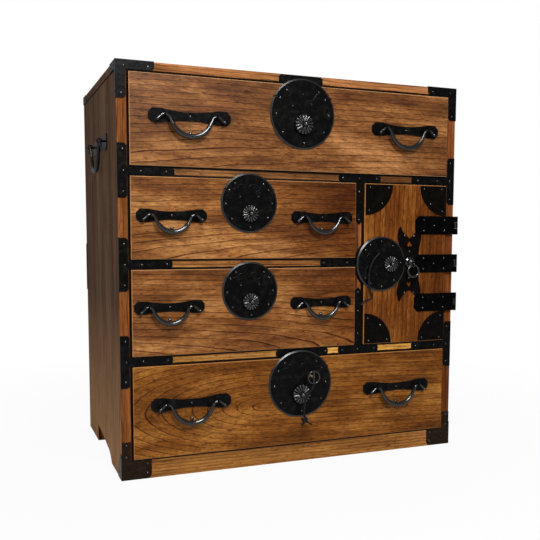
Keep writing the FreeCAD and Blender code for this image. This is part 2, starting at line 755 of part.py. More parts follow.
# Ring pull: a domed post on the fret plate with an eye in its nose, and a loose ring.
postX, postZ = 596.5, 398
postRadius, postHeight, postEye, flange = 10.5, 13, 3.2, 2
neckRadius, neckOut, bellyRadius, bellyOut = 7.6, 3.5, 7.9, 6
crownRadius, crownOut = 5.8, 10.9
pullRing, pullWire, noseDrop = 12.3, 1.7, 5
domeOutline = [
    (0, 0), (0, postRadius), (-flange, postRadius), (-neckOut, neckRadius), (-bellyOut, bellyRadius),
    ((-crownOut, crownRadius), (-postHeight, 0)),
]
dome = turned("ring_post_dome", domeOutline)
noseEye = eyePost("ring_post_eye", postHeight + postEye)
noseEye.Placement = FreeCAD.Placement(Vector(0, 0, -noseDrop), FreeCAD.Rotation())
ringPost = fuse("door_ring_post", [dome, noseEye])
place(ringPost, postX, "-dim.proud - dim.iron", postZ)
subPart(ringPost, "door_ring_post")
ring = doc.addObject("Part::Torus", "door_ring")
ring.Radius1 = pullRing
ring.Radius2 = pullWire
ring.Placement = FreeCAD.Placement(Vector(), turnForward)
place(ring, postX, f"-dim.proud - dim.iron - {postHeight + postEye}", postZ - noseDrop - pullRing)
subPart(ring, "door_ring")

# Key of the bottom drawer: shank, cross bar and ring bow.
keyPlane = "dim.key_ring_wire - dim.reach"
keyMouth = "-dim.proud - dim.lock_crown - dim.key_play"
bow = doc.addObject("Part::Torus", "key_bow")
bow.setExpression("Radius1", "dim.key_ring_radius")
bow.setExpression("Radius2", "dim.key_ring_wire")
bow.Placement = FreeCAD.Placement(Vector(), turnForward)
place(bow, "dim.key_x", keyPlane, "dim.key_z")
bar = doc.addObject("Part::Cylinder", "key_bar")
bar.setExpression("Radius", "dim.key_bar_radius")
bar.setExpression("Height", "2 * dim.key_ring_radius")
place(bar, "dim.key_x", keyPlane, "dim.key_z - dim.key_ring_radius")
shank = doc.addObject("Part::Cylinder", "key_shank")
shank.setExpression("Radius", "dim.key_shank_radius")
shank.setExpression("Height", f"{keyMouth} - ({keyPlane})")
shank.Placement = FreeCAD.Placement(Vector(), turnForward)
place(shank, "dim.key_x", keyMouth, "dim.key_z")
subPart(fuse("key", [bow, bar, shank]), "key")

# Cords: straight runs joined by tangent arcs as large as the runs allow.
keyCordRoute = [
    (371, -30.3, 160), (370, -29.6, 151.5), (363.5, -27.8, 141.5), (358.5, -26, 129),
    (356.5, -24.8, 115), (357.5, -24, 102), (358.5, -23.6, 94),
]
doorCordRoute = [
    (523, -14.5, 418), (513.5, -14.2, 410.5), (505.5, -14, 399), (500.5, -13.6, 385), (498.5, -13.2, 370),
    (498.8, -13, 355.5), (501.8, -12.6, 342.5), (506.5, -12, 333), (506.8, -11.6, 326.5),
    (501.5, -11.4, 322.8), (493.5, -11.2, 322), (486.5, -11, 318), (482.5, -11, 312),
]
runShare = 0.45


def cordTube(label, route, thickness):
    points = [Vector(*point) for point in route]
    here = points[0]
    edges = []
    radii = []
    for before, corner, after in zip(points, points[1:], points[2:]):
        toStart, toEnd = before - corner, after - corner
        setBack = runShare * min(toStart.Length, toEnd.Length)
        turn = math.pi - toStart.getAngle(toEnd)
        radii.append(setBack / math.tan(turn / 2))
        start = corner + toStart.normalize() * setBack
        end = corner + toEnd.normalize() * setBack
        bisector = (toStart + toEnd).normalize()
        middle = corner + bisector * radii[-1] * (1 / math.cos(turn / 2) - 1)
        edges.append(Part.LineSegment(here, start).toShape())
        edges.append(Part.Arc(start, middle, end).toShape())
        here = end
    edges.append(Part.LineSegment(here, points[-1]).toShape())
    path = Part.Wire(edges)
    section = Part.Wire(Part.makeCircle(size(thickness) / 2, points[0], points[1] - points[0]))
    tubeShape = path.makePipeShell([section], True, True)
    expected = math.pi * (size(thickness) / 2) ** 2 * path.Length
    print(label, "length", round(path.Length, 1), "radii", [round(radius, 1) for radius in radii])
    print(label, "volume over section times length", round(tubeShape.Volume / expected, 4))
    return subPart(place(solid(label, tubeShape), "0", "0", "0"), label)


cordTube("key_cord", keyCordRoute, "key_cord_thickness")
cordTube("door_cord", doorCordRoute, "door_cord_thickness")

# The knot under the key cord: a round of thong with two short tails.
knotRadii, knotDrop = (5, 6.2, 4.6), 5
tailRuns, tailShare = ((-5, 1, -10), (17, 1, -12)), 0.42
knotX, knotY, cordEnd = keyCordRoute[-1]
knotZ = cordEnd - knotDrop
knot = doc.addObject("Part::Ellipsoid", "knot_round")
knot.Radius1, knot.Radius2, knot.Radius3 = knotRadii
place(knot, knotX, knotY, knotZ)
tails = []
for index, run in enumerate(tailRuns):
    way = Vector(*run)
    tail = doc.addObject("Part::Cylinder", f"knot_tail_{index}")
    tail.setExpression("Radius", f"{tailShare} * dim.key_cord_thickness")
    tail.Height = way.Length
    tail.Placement = FreeCAD.Placement(Vector(), FreeCAD.Rotation(Vector(0, 0, 1), way))
    tails.append(place(tail, knotX, knotY, knotZ))
subPart(fuse("key_cord_knot", [knot] + tails), "key_cord_knot")

doc.recompute()
failed = [item.Name for item in doc.Objects if {"Invalid", "Error"} & set(item.State)]
badShapes = [item.Label for item in subParts if item.Shape.isNull() or not item.Shape.isValid()]
if failed or badShapes:
    raise RuntimeError(f"failed objects {failed}, bad shapes {badShapes}")
os.makedirs("parts", exist_ok=True)
for item in subParts:
    item.Shape.exportStep(f"parts/{item.Label}.step")
print(len(subParts), "sub-parts written")
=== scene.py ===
import bpy
import json
import math
import random
from mathutils import Matrix, Vector


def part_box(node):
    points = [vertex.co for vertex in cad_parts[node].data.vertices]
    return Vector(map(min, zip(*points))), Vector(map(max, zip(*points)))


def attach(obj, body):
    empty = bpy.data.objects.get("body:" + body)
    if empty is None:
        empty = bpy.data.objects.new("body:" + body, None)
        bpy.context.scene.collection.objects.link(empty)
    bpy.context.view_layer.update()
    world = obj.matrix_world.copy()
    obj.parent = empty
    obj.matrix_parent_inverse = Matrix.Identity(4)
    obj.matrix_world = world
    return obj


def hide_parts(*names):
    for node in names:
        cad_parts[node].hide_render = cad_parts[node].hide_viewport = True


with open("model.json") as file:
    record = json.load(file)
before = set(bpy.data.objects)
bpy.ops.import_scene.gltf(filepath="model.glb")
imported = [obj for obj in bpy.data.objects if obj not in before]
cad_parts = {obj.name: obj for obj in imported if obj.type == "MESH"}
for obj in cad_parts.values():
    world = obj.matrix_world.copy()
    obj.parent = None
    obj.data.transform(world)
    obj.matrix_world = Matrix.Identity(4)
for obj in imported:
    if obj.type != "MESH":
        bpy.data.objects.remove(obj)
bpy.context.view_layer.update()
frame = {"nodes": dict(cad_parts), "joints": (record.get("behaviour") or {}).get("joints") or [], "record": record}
nodes = frame["nodes"]
mm = 0.001

# bench measures are in mm, from the left face, the front face of the frame and the floor
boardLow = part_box("left_side_board")[0]
benchCorner = Vector((boardLow.x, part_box("base_rail")[0].y, boardLow.z))
chestWidth = (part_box("right_side_board")[1].x - boardLow.x) / mm
print("frame loaded,", len(nodes), "nodes")


def bench(x, y, z):
    return benchCorner + Vector((x, y, z)) * mm


def frontOf(node):
    return (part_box(node)[0].y - benchCorner.y) / mm


def deselectAll():
    if bpy.context.object and bpy.context.object.mode != "OBJECT":
        bpy.ops.object.mode_set(mode="OBJECT")
    bpy.ops.object.select_all(action="DESELECT")


def pick(item):
    deselectAll()
    item.select_set(True)
    bpy.context.view_layer.objects.active = item


def newObject(name, data):
    item = bpy.data.objects.new(name, data)
    bpy.context.scene.collection.objects.link(item)
    return item


def dress(item, material):
    item.data.materials.clear()
    item.data.materials.append(material)


def joinAll(pieces):
    pick(pieces[0])
    for piece in pieces[1:]:
        piece.select_set(True)
    bpy.ops.object.join()
    return pieces[0]


def settle():  # the place goes into the mesh
    bpy.ops.object.transform_apply(location=True, rotation=True, scale=True)


deselectAll()

# camera, level with the lock plates and well to the left
cameraLook = {
    "place": (-0.5834, -1.6180, 0.4607),
    "right": (0.922206, -0.386662, 0.005740),
    "up": (0.030678, 0.087953, 0.995652),
    "back": (-0.385486, -0.918020, 0.092973),
    "lens": 51.67,
    "sensor": 36,
    "shift": (-0.0638, 0.0626),
}
cameraData = bpy.data.cameras.new("camera")
cameraData.lens = cameraLook["lens"]
cameraData.sensor_width = cameraLook["sensor"]
cameraData.shift_x, cameraData.shift_y = cameraLook["shift"]
camera = newObject("camera", cameraData)
axes = Matrix((cameraLook["right"], cameraLook["up"], cameraLook["back"])).transposed()
camera.matrix_world = Matrix.Translation(cameraLook["place"]) @ axes.to_4x4()
bpy.context.scene.camera = camera
print("camera set")


# materials
def linear(colour):
    parts = [int(colour[i:i + 2], 16) / 255 for i in (1, 3, 5)]
    return [p / 12.92 if p <= 0.04045 else ((p + 0.055) / 1.055) ** 2.4 for p in parts] + [1]


def newMaterial(name):
    material = bpy.data.materials.new(name)
    material.use_nodes = True
    return material, material.node_tree, material.node_tree.nodes["Principled BSDF"]


def add(tree, kind, links=None, stops=None, **settings):
    node = tree.nodes.new(kind)
    for key, value in settings.items():
        setattr(node, key, value)
    for index, (position, colour) in enumerate(stops or []):
        elements = node.color_ramp.elements
        stop = elements[index] if index < 2 else elements.new(position)
        stop.position = position
        stop.color = linear(colour)
    for socket, value in (links or {}).items():
        if isinstance(value, bpy.types.NodeSocket):
            tree.links.new(value, node.inputs[socket])
        else:
            node.inputs[socket].default_value = value
    return node


# what all the wood shares, sizes in mm
zelkovaLook = {
    "waveLength": 0.314,  # the wave texture repeats after this length at scale 1
    "lineEnd": 0.97, "fineRing": 0.37, "fineShare": 0.16,  # finer lines between the years
    "longGrain": 0.09, "patch": 20, "weakest": 0.5,  # years fade in and out in long patches
    "kneeReach": 400, "pore": 2.3, "poreLength": 5, "poreDepth": -0.8,
    "toneStops": (0.34, 0.5, 0.68),
    "sideways": 0.7, "frontward": -0.9, "inGap": 0.3, "eased": 0.707, "easedSpan": 0.1,  # of the normal
    # painted bounce light from the floor: the case boards turn paler from this height down
    "footTop": 330, "footLow": 30, "footShare": 0.9,
    # gap faces darken with grime and painted shade, bands beside the gaps with dirt and painted shadow, rubbed
    # edges pale with wear and a painted highlight
    "gapGrimeAndShadeTone": "#1f1208", "dirtTone": "#140b05", "rubbedAndLitShare": 0.6,
    "roughSpread": 0.2, "bump": 0.35, "relief": 0.3,
}
# tones of each cut: shade, plain, glow, then stain and rubbed edge (paler with wear, partly a painted highlight).
# The fronts step darker from the top drawer down to the door, and the right stile's edge is darker than the left:
# partly the boards' own colour, partly painted shade of the light falling off downwards and to the right.
woodTones = {
    "top": ("#54321a", "#7b4e28", "#b27c4a", "#684636", "#c09468"),
    "front": ("#563115", "#855328", "#ba844d", "#6a4a34", "#b98a5c"),
    "low": ("#532c07", "#7d4a15", "#ae7533", "#6c4428", "#ad7d4a"),
    "door": ("#522706", "#764212", "#a0682f", "#784d30", "#ad7d4a"),
    "rail": ("#7a4d20", "#a06c32", "#c9945a", "#7d5a44", "#c9975f"),
    "darkRail": ("#4c2f14", "#6e4724", "#98693c", "#7d5a44", "#c9975f"),
    "midRail": ("#67411c", "#925f30", "#d09a5c", "#7d5a44", "#c9975f"),
    "straw": ("#ac7630", "#d0983f", "#e6b764", "#8a6a50", "#d0a067"),
    "stile": ("#553012", "#865028", "#b47b4c", "#6c4a38", "#aa7646"),
    "case": ("#5f4735", "#745743", "#886b55", "#806856", "#7a5f49"),
    "box": ("#b08f66", "#c2a176", "#cfb38c", "#b09a86", "#cfb38c"),
    "lidEdge": ("#7f5029", "#a66e41", "#cc976a"),
    "redEdge": ("#5c2e12", "#764221", "#8c5430"),
}


# Zelkova under wiped lacquer: ring-porous, so each year ends in a thin dark line, with cloudy depth,
# cross-grain shimmer and short pores. The grain runs along the board's own x after its turn.
def zelkova(name, look):
    material, tree, surface = newMaterial(name)
    wood = zelkovaLook
    tones = woodTones[look["tones"]]
    stainTone, edgeWearAndHighlightTone = tones[3:]
    place = add(tree, "ShaderNodeTexCoord")
    facing = add(tree, "ShaderNodeSeparateXYZ", {0: place.outputs["Normal"]})
    spot = add(tree, "ShaderNodeSeparateXYZ", {0: place.outputs["Object"]})
    grainPlace = place.outputs["Object"]
    if look.get("boxed"):  # the sides of a box run front to back
        across = add(tree, "ShaderNodeMath", {0: facing.outputs["X"]}, operation="ABSOLUTE")
        isSide = add(tree, "ShaderNodeMath", {
            0: across.outputs[0], 1: wood["sideways"],
        }, operation="GREATER_THAN")
        turned = add(tree, "ShaderNodeCombineXYZ", {
            "X": spot.outputs["Y"], "Y": spot.outputs["X"], "Z": spot.outputs["Z"],
        })
        grainPlace = add(tree, "ShaderNodeMix", {
            "Factor": isSide.outputs[0], 4: grainPlace, 5: turned.outputs[0],
        }, data_type="VECTOR").outputs[1]
    lie = add(tree, "ShaderNodeMapping", {
        "Vector": grainPlace, "Location": look["heart"], "Rotation": look["turn"],
    }, vector_type="TEXTURE")
    along = add(tree, "ShaderNodeMapping", {
        "Vector": lie.outputs[0], "Scale": (look["stretch"], 1, 1),
    })
    # the grain sways, and on one side of a knee it slants away
    sway = add(tree, "ShaderNodeTexNoise", {
        "Vector": along.outputs[0], "Scale": 1 / (look["sway"] * mm), "Detail": 3.5, "Roughness": 0.5,
    })
    shift = add(tree, "ShaderNodeVectorMath", {
        0: sway.outputs["Color"], 1: (0.5, 0.5, 0.5),
    }, operation="SUBTRACT")
    kneeReach = wood["kneeReach"] * mm
    kneeSplit = add(tree, "ShaderNodeSeparateXYZ", {0: lie.outputs[0]})
    knee = add(tree, "ShaderNodeMapRange", {
        "Value": kneeSplit.outputs["X"], "From Min": -kneeReach, "From Max": 0,
        "To Min": kneeReach * look["knee"], "To Max": 0,
    })
    kneeShift = add(tree, "ShaderNodeCombineXYZ", {"Y": knee.outputs[0]})
    dipped = add(tree, "ShaderNodeVectorMath", {
        0: lie.outputs[0], 1: kneeShift.outputs[0],
    }, operation="ADD")
    bent = add(tree, "ShaderNodeVectorMath", {
        0: shift.outputs[0], 1: [look["bend"] * mm] * 3, 2: dipped.outputs[0],
    }, operation="MULTIPLY_ADD")
    # year lines with finer lines between, strong in some places and weaker in others
    years = add(tree, "ShaderNodeTexWave", {
        "Vector": bent.outputs[0], "Scale": wood["waveLength"] / (look["ring"] * mm),
        "Distortion": look["ripple"], "Detail": 3, "Detail Scale": 0.5,
    }, wave_type="RINGS", rings_direction="X", wave_profile="SAW")
    yearLine = add(tree, "ShaderNodeMapRange", {
        "Value": years.outputs["Fac"], "From Min": look["line"], "From Max": wood["lineEnd"],
    }, interpolation_type="SMOOTHSTEP")
    fineYears = add(tree, "ShaderNodeTexWave", {
        "Vector": bent.outputs[0], "Scale": wood["waveLength"] / (look["ring"] * wood["fineRing"] * mm),
        "Distortion": look["ripple"], "Detail": 3, "Detail Scale": 0.8,
    }, wave_type="RINGS", rings_direction="X", wave_profile="SIN")
    fineLines = add(tree, "ShaderNodeMath", {
        0: fineYears.outputs["Fac"], 1: wood["fineShare"],
    }, operation="MULTIPLY")
    dimming = add(tree, "ShaderNodeMath", {
        0: years.outputs["Fac"], 1: wood["fineShare"], 2: fineLines.outputs[0],
    }, operation="MULTIPLY_ADD")
    bothLines = add(tree, "ShaderNodeMath", {
        0: yearLine.outputs[0], 1: dimming.outputs[0],
    }, operation="ADD")
    longLie = add(tree, "ShaderNodeMapping", {
        "Vector": bent.outputs[0], "Scale": (wood["longGrain"], 1, 1),
    })
    presence = add(tree, "ShaderNodeTexNoise", {
        "Vector": longLie.outputs[0], "Scale": 1 / (wood["patch"] * mm), "Detail": 2,
    })
    presenceShare = add(tree, "ShaderNodeMapRange", {
        "Value": presence.outputs["Fac"], "From Min": 0.36, "From Max": 0.66,
        "To Min": look["figure"] * wood["weakest"], "To Max": look["figure"],
    })
    lines = add(tree, "ShaderNodeMath", {
        0: bothLines.outputs[0], 1: presenceShare.outputs[0],
    }, operation="MULTIPLY")
    # broad smoky streaks
    streak = add(tree, "ShaderNodeTexNoise", {
        "Vector": longLie.outputs[0], "Scale": 1 / (look["streak"] * mm), "Detail": 4, "Roughness": 0.6,
    })
    smoke = add(tree, "ShaderNodeMapRange", {
        "Value": streak.outputs["Fac"], "From Min": 0.48, "From Max": 0.72, "To Max": look["smoke"],
    })
    # pores, drawn larger than life so that they show
    poreLie = add(tree, "ShaderNodeMapping", {
        "Vector": lie.outputs[0], "Scale": (1 / wood["poreLength"], 1, 1),
    })
    pore = add(tree, "ShaderNodeTexNoise", {
        "Vector": poreLie.outputs[0], "Scale": 1 / (wood["pore"] * mm), "Detail": 1,
    })
    pores = add(tree, "ShaderNodeMapRange", {
        "Value": pore.outputs["Fac"], "From Min": 0.58, "From Max": 0.68, "To Max": look["pores"],
    })
    linesAndSmoke = add(tree, "ShaderNodeMath", {
        0: lines.outputs[0], 1: smoke.outputs[0],
    }, operation="ADD")
    stainShare = add(tree, "ShaderNodeMath", {
        0: linesAndSmoke.outputs[0], 1: pores.outputs[0],
    }, operation="MAXIMUM", use_clamp=True)
    # cloudy depth of the lacquer
    cloud = add(tree, "ShaderNodeTexNoise", {
        "Vector": along.outputs[0], "Scale": 1 / (look["cloud"] * mm), "Detail": 6, "Roughness": 0.68,
    })
    body = add(tree, "ShaderNodeValToRGB", {
        "Fac": cloud.outputs["Fac"],
    }, stops=zip(wood["toneStops"], tones)).outputs[0]
    if "darkerEnd" in look:  # one end of the board is darker: on the drawers and the door painted shade where the light falls off to the right, on the lower rail darker towards its left end
        paleEnd, darkEnd, duskTone = look["darkerEnd"]
        endShare = add(tree, "ShaderNodeMapRange", {
            "Value": spot.outputs["X"],
            "From Min": bench(paleEnd, 0, 0).x, "From Max": bench(darkEnd, 0, 0).x,
        })
        body = add(tree, "ShaderNodeMix", {
            "Factor": endShare.outputs[0], 6: body, 7: linear(duskTone),
        }, data_type="RGBA", blend_type="MULTIPLY").outputs[2]
    if "foot" in look:  # paler towards the floor: painted bounce light from the floor
        lowness = add(tree, "ShaderNodeMapRange", {
            "Value": spot.outputs["Z"], "From Min": bench(0, 0, wood["footTop"]).z,
            "From Max": bench(0, 0, wood["footLow"]).z, "To Max": wood["footShare"],
        })
        body = add(tree, "ShaderNodeMix", {
            "Factor": lowness.outputs[0], 6: body, 7: linear(look["foot"]),
        }, data_type="RGBA").outputs[2]
    if "faceTones" in look:  # the front edge of a case board has tones of its own
        face = add(tree, "ShaderNodeValToRGB", {
            "Fac": cloud.outputs["Fac"],
        }, stops=zip(wood["toneStops"], woodTones[look["faceTones"]]))
        toFront = add(tree, "ShaderNodeMath", {
            0: facing.outputs["Y"], 1: wood["frontward"],
        }, operation="LESS_THAN")
        body = add(tree, "ShaderNodeMix", {
            "Factor": toFront.outputs[0], 6: body, 7: face.outputs[0],
        }, data_type="RGBA").outputs[2]
    # shimmer where the fibres dip in and out of the face
    shimmerLie = add(tree, "ShaderNodeMapping", {
        "Vector": bent.outputs[0], "Scale": (1 / look["dash"], 1, 1),
    })
    shimmer = add(tree, "ShaderNodeTexNoise", {
        "Vector": shimmerLie.outputs[0], "Scale": 1 / (look["fleck"] * mm),
        "Detail": 4, "Roughness": 0.65,
    })
    shimmerTone = add(tree, "ShaderNodeMapRange", {
        "Value": shimmer.outputs["Fac"], "From Min": 0.28, "From Max": 0.72,
        "To Min": 1 - look["mottle"], "To Max": 1 + look["mottle"],
    })
    shaded = add(tree, "ShaderNodeMix", {
        "Factor": 1.0, 6: body, 7: shimmerTone.outputs[0],
    }, data_type="RGBA", blend_type="MULTIPLY")
    stained = add(tree, "ShaderNodeMix", {
        "Factor": stainShare.outputs[0], 6: shaded.outputs[2], 7: linear(stainTone),
    }, data_type="RGBA", blend_type="MULTIPLY")
    # faces inside the gaps are darkened with grime and painted shade of the gaps; eased front edges are rubbed
    # paler, partly a painted highlight
    flat = add(tree, "ShaderNodeMath", {0: facing.outputs["Y"]}, operation="ABSOLUTE")
    side = add(tree, "ShaderNodeMath", {0: flat.outputs[0], 1: wood["inGap"]}, operation="LESS_THAN")
    gapGrimeAndShadeShare = add(tree, "ShaderNodeMath", {
        0: side.outputs[0], 1: look["gapGrimeAndShade"],
    }, operation="MULTIPLY")
    gapGrimeAndShaded = add(tree, "ShaderNodeMix", {
        "Factor": gapGrimeAndShadeShare.outputs[0], 6: stained.outputs[2], 7: linear(wood["gapGrimeAndShadeTone"]),
    }, data_type="RGBA")
    # eased edges are paler: rubbed with wear, and lightened as a painted highlight along the arris
    edge = add(tree, "ShaderNodeMath", {
        0: flat.outputs[0], 1: wood["eased"], 2: wood["easedSpan"],
    }, operation="COMPARE")
    edgeWearAndHighlightShare = add(tree, "ShaderNodeMath", {
        0: edge.outputs[0], 1: wood["rubbedAndLitShare"],
    }, operation="MULTIPLY")
    finished = add(tree, "ShaderNodeMix", {
        "Factor": edgeWearAndHighlightShare.outputs[0], 6: gapGrimeAndShaded.outputs[2], 7: linear(edgeWearAndHighlightTone),
    }, data_type="RGBA").outputs[2]
    for axis, seam in look.get("seams", ()):  # a dark band along the edges beside a gap: painted shadow of the gap, with old wax and dirt
        beside = add(tree, "ShaderNodeMath", {
            0: spot.outputs[axis], 1: seam, 2: look["gapShadowAndDirt"] * mm,
        }, operation="COMPARE")
        finished = add(tree, "ShaderNodeMix", {
            "Factor": beside.outputs[0], 6: finished, 7: linear(wood["dirtTone"]),
        }, data_type="RGBA").outputs[2]
    sheen = add(tree, "ShaderNodeMapRange", {
        "Value": shimmer.outputs["Fac"],
        "To Min": look["rough"], "To Max": look["rough"] + wood["roughSpread"],
    })
    height = add(tree, "ShaderNodeMath", {
        0: pores.outputs[0], 1: wood["poreDepth"], 2: shimmer.outputs["Fac"],
    }, operation="MULTIPLY_ADD")
    bump = add(tree, "ShaderNodeBump", {
        "Height": height.outputs[0], "Strength": wood["bump"], "Distance": wood["relief"] * mm,
    })
    tree.links.new(finished, surface.inputs["Base Color"])
    tree.links.new(sheen.outputs[0], surface.inputs["Roughness"])
    tree.links.new(bump.outputs[0], surface.inputs["Normal"])
    surface.inputs["Specular IOR Level"].default_value = look["shine"]
    return material


# cuts of wood, sizes in mm: a drawer front first, then what differs in the others
upright = math.radians(-90)
planed = {
    "stretch": 0.22, "ring": 9, "line": 0.88, "sway": 70, "bend": 13, "ripple": 0.4, "knee": 0,
    "figure": 1.35, "cloud": 60, "streak": 12, "smoke": 0.55, "pores": 0.65,
    "fleck": 2.6, "dash": 5, "mottle": 0.42, "rough": 0.25, "shine": 0.12,
    "gapGrimeAndShade": 0.8, "gapShadowAndDirt": 2.4, "tones": "front",
}
straight = {
    **planed, "stretch": 0.1, "bend": 5, "ripple": 0.5, "smoke": 0.35, "dash": 14, "fleck": 2,
    "ring": 6, "line": 0.6, "figure": 0.9, "gapGrimeAndShade": 0.35,
}
railCut = {
    **straight, "heart": bench(100, 70, 480), "turn": (0, 0.012, 0), "figure": 0.8, "ripple": 1.4,
}
caseCut = {
    **straight, "gapGrimeAndShade": 0, "figure": 0.55, "ring": 9, "line": 0.75, "bend": 26, "ripple": 2.2,
    "rough": 0.6, "shine": 0.03, "smoke": 0.5, "pores": 0.3, "dash": 20, "tones": "case",
}
sideCut = {**caseCut, "turn": (0, upright, 0), "foot": "#bd8f62"}
boards = {
    "top_drawer_front": {
        **planed, "heart": bench(60, 130, 520), "turn": (0, 0.05, -0.08), "bend": 15, "tones": "top",
    },
    "upper_drawer_front": {
        **planed, "heart": bench(60, 75, 385), "turn": (0, 0.02, -0.1), "bend": 15,
        "darkerEnd": (270, 450, "#b89f76"),
    },
    "lower_drawer_front": {
        **planed, "heart": bench(330, 85, 212), "turn": (0, -0.03, 0.1), "bend": 15,
        "darkerEnd": (320, 450, "#d0bd98"),
    },
    "bottom_drawer_front": {
        **planed, "heart": bench(270, -2, 118), "turn": (0, 0.03, 0), "knee": -0.3, "tones": "low",
    },
    "door_board": {
        **planed, "heart": bench(440, 60, 400), "turn": (0, upright + 0.03, 0.04), "tones": "door",
        "darkerEnd": (600, 640, "#d8d0d0"),
    },
    "base_rail": {**railCut, "tones": "rail"},
    "middle_divider": {**railCut, "tones": "midRail"},
    "upper_divider": {**railCut, "tones": "darkRail"},
    "lower_divider": {**railCut, "tones": "straw", "darkerEnd": (400, 250, "#c4b4b4")},
    "partition": {
        **straight, "heart": bench(440, 60, 390), "turn": (0, upright, 0), "tones": "stile",
    },
    "top_board": {
        **caseCut, "heart": bench(300, -150, 520), "turn": (0, 0.01, 0), "figure": 0.8, "ring": 7,
        "gapShadowAndDirt": 3.4, "faceTones": "lidEdge",
    },
    "left_side_board": {
        **sideCut, "heart": bench(200, -150, 380), "figure": 0.7, "faceTones": "stile",
    },
    "right_side_board": {**sideCut, "heart": bench(505, -150, 380), "faceTones": "redEdge"},
    "back_panel": {**sideCut, "heart": bench(-150, 300, 380), "ring": 8},
    "bottom_board": {**caseCut, "heart": bench(300, 190, 100), "turn": (0, 0, 0)},
}
# edges beside a gap: axis, and low or high end of the board
seamEdges = {
    "top_board": [("Z", 0)], "base_rail": [("Z", 1)],
    "upper_divider": [("Z", 0), ("Z", 1)], "middle_divider": [("Z", 0), ("Z", 1)],
    "lower_divider": [("Z", 0), ("Z", 1)], "partition": [("X", 0), ("X", 1)],
    "left_side_board": [("X", 1)], "right_side_board": [("X", 0)],
}
for node, edges in seamEdges.items():
    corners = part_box(node)
    boards[node]["seams"] = [(axis, getattr(corners[end], axis.lower())) for axis, end in edges]
for node, look in boards.items():
    dress(nodes[node], zelkova(node + "_zelkova", look))
# bare planed paulownia: pale, matt and straight in the grain, with faint years
boxWood = zelkova("bare_paulownia", {
    **straight, "heart": bench(300, 200, 420), "turn": (0, 0, 0), "boxed": True, "tones": "box",
    "ring": 7, "rough": 0.6, "smoke": 0.1, "mottle": 0.1, "figure": 0.35, "gapGrimeAndShade": 0,
})


# what all the iron shares, sizes in mm
ironLook = {
    "toneStops": (0.32, 0.52, 0.72), "gritSize": 2.4, "gritRough": 0.18, "gritHeight": 0.35,
    "relief": 0.5, "rimRough": 0.32, "rimShine": 0.5, "rimFrom": 0.97, "rimFull": 0.9,
}


# Wrought iron blacked with lacquer: dark, faintly hammered, browner where the black has worn thin,
# with an optional rubbed rim where the metal turns away from the front, and an optional brass stem.
def blackedIron(name, look):
    material, tree, surface = newMaterial(name)
    iron = ironLook
    place = add(tree, "ShaderNodeTexCoord")
    mottle = add(tree, "ShaderNodeTexNoise", {
        "Vector": place.outputs["Object"], "Scale": 1 / (look["mottle"] * mm),
        "Detail": 6, "Roughness": 0.7,
    })
    tone = add(tree, "ShaderNodeValToRGB", {
        "Fac": mottle.outputs["Fac"],
    }, stops=zip(iron["toneStops"], look["tones"])).outputs[0]
    grit = add(tree, "ShaderNodeTexNoise", {
        "Vector": place.outputs["Object"], "Scale": 1 / (iron["gritSize"] * mm),
        "Detail": 3, "Roughness": 0.6,
    })
    gritTone = add(tree, "ShaderNodeMapRange", {
        "Value": grit.outputs["Fac"], "From Min": 0.3, "From Max": 0.7,
        "To Min": 1 - look["grit"] / 2, "To Max": 1 + look["grit"] / 2,
    })
    tone = add(tree, "ShaderNodeMix", {
        "Factor": 1.0, 6: tone, 7: gritTone.outputs[0],
    }, data_type="RGBA", blend_type="MULTIPLY").outputs[2]
    sheen = add(tree, "ShaderNodeMapRange", {
        "Value": grit.outputs["Fac"], "From Min": 0.3, "From Max": 0.7,
        "To Min": look["rough"], "To Max": look["rough"] + iron["gritRough"] * look["grit"],
    }).outputs[0]
    if "rim" in look:
        facing = add(tree, "ShaderNodeSeparateXYZ", {0: place.outputs["Normal"]})
        flat = add(tree, "ShaderNodeMath", {0: facing.outputs["Y"]}, operation="ABSOLUTE")
        rubbed = add(tree, "ShaderNodeMapRange", {
            "Value": flat.outputs[0], "From Min": iron["rimFrom"], "From Max": iron["rimFull"],
        })
        tone = add(tree, "ShaderNodeMix", {
            "Factor": rubbed.outputs[0], 6: tone, 7: linear(look["rim"]),
        }, data_type="RGBA").outputs[2]
        sheen = add(tree, "ShaderNodeMix", {
            "Factor": rubbed.outputs[0], 2: sheen, 3: iron["rimRough"],
        }).outputs[0]
        glint = add(tree, "ShaderNodeMapRange", {
            "Value": rubbed.outputs[0], "To Min": look["shine"], "To Max": iron["rimShine"],
        })
        tree.links.new(glint.outputs[0], surface.inputs["Specular IOR Level"])
    if "stem" in look:
        deep = add(tree, "ShaderNodeSeparateXYZ", {0: place.outputs["Object"]})
        stem = add(tree, "ShaderNodeMath", {
            0: deep.outputs["Y"], 1: bench(0, look["stemEnd"], 0).y,
        }, operation="GREATER_THAN")
        tone = add(tree, "ShaderNodeMix", {
            "Factor": stem.outputs[0], 6: tone, 7: linear(look["stem"]),
        }, data_type="RGBA").outputs[2]
    hammer = add(tree, "ShaderNodeTexVoronoi", {
        "Vector": place.outputs["Object"], "Scale": 1 / (look["hammer"] * mm),
    }, feature="SMOOTH_F1")
    height = add(tree, "ShaderNodeMath", {
        0: grit.outputs["Fac"], 1: iron["gritHeight"] * look["grit"], 2: hammer.outputs["Distance"],
    }, operation="MULTIPLY_ADD")
    bump = add(tree, "ShaderNodeBump", {
        "Height": height.outputs[0], "Strength": look["dent"], "Distance": iron["relief"] * mm,
    })
    tree.links.new(tone, surface.inputs["Base Color"])
    tree.links.new(sheen, surface.inputs["Roughness"])
    tree.links.new(bump.outputs[0], surface.inputs["Normal"])
    surface.inputs["Specular IOR Level"].default_value = look["shine"]
    return material


